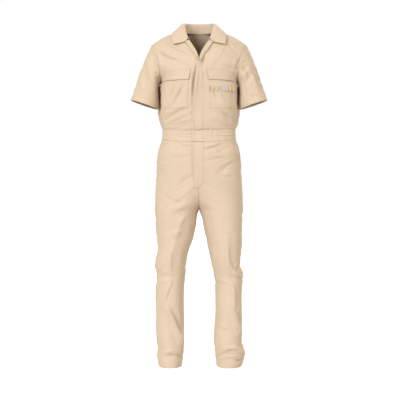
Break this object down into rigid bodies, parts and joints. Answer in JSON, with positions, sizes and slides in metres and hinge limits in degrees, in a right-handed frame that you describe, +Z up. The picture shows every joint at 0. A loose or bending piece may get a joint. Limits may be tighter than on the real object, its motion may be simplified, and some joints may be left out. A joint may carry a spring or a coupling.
{
  "type": "boiler suit",
  "caption": "Short-sleeved cotton twill boiler suit in worn form, hollow, with open neck, flat collar, flapped chest pockets, waistband and slanted hip pockets.",
  "frame": {"origin": "between the shoulders at the base of the neck, where the wearer carries the suit", "axes": "+Z up along the standing wearer, -Y the front of the suit, -X the wearer's right"},
  "size_m": [0.615, 0.2719, 1.5497],
  "materials": {
    "twill": "washed cotton twill, matt, stone khaki",
    "twill_inside": "cotton twill in shade, matt",
    "label": "woven, bare, pale grey"
  },
  "bodies": {
    "root": {"front_right": "twill", "front_left": "twill", "back": "twill", "sleeve_right": "twill", "sleeve_left": "twill", "collar": "twill", "lapel_right": "twill", "lapel_left": "twill", "placket": "twill", "pocket_right": "twill", "pocket_left": "twill", "flap_right": "twill", "flap_left": "twill", "pen_loops": "twill", "label": "label", "waistband_right": "twill", "waistband_left": "twill", "waistband_back": "twill", "waistband_lap": "twill", "fly": "twill", "leg_front_right": "twill", "leg_front_left": "twill", "leg_back_right": "twill", "leg_back_left": "twill", "hip_facing_right": "twill_inside", "hip_facing_left": "twill_inside"}
  },
  "joints": []
}
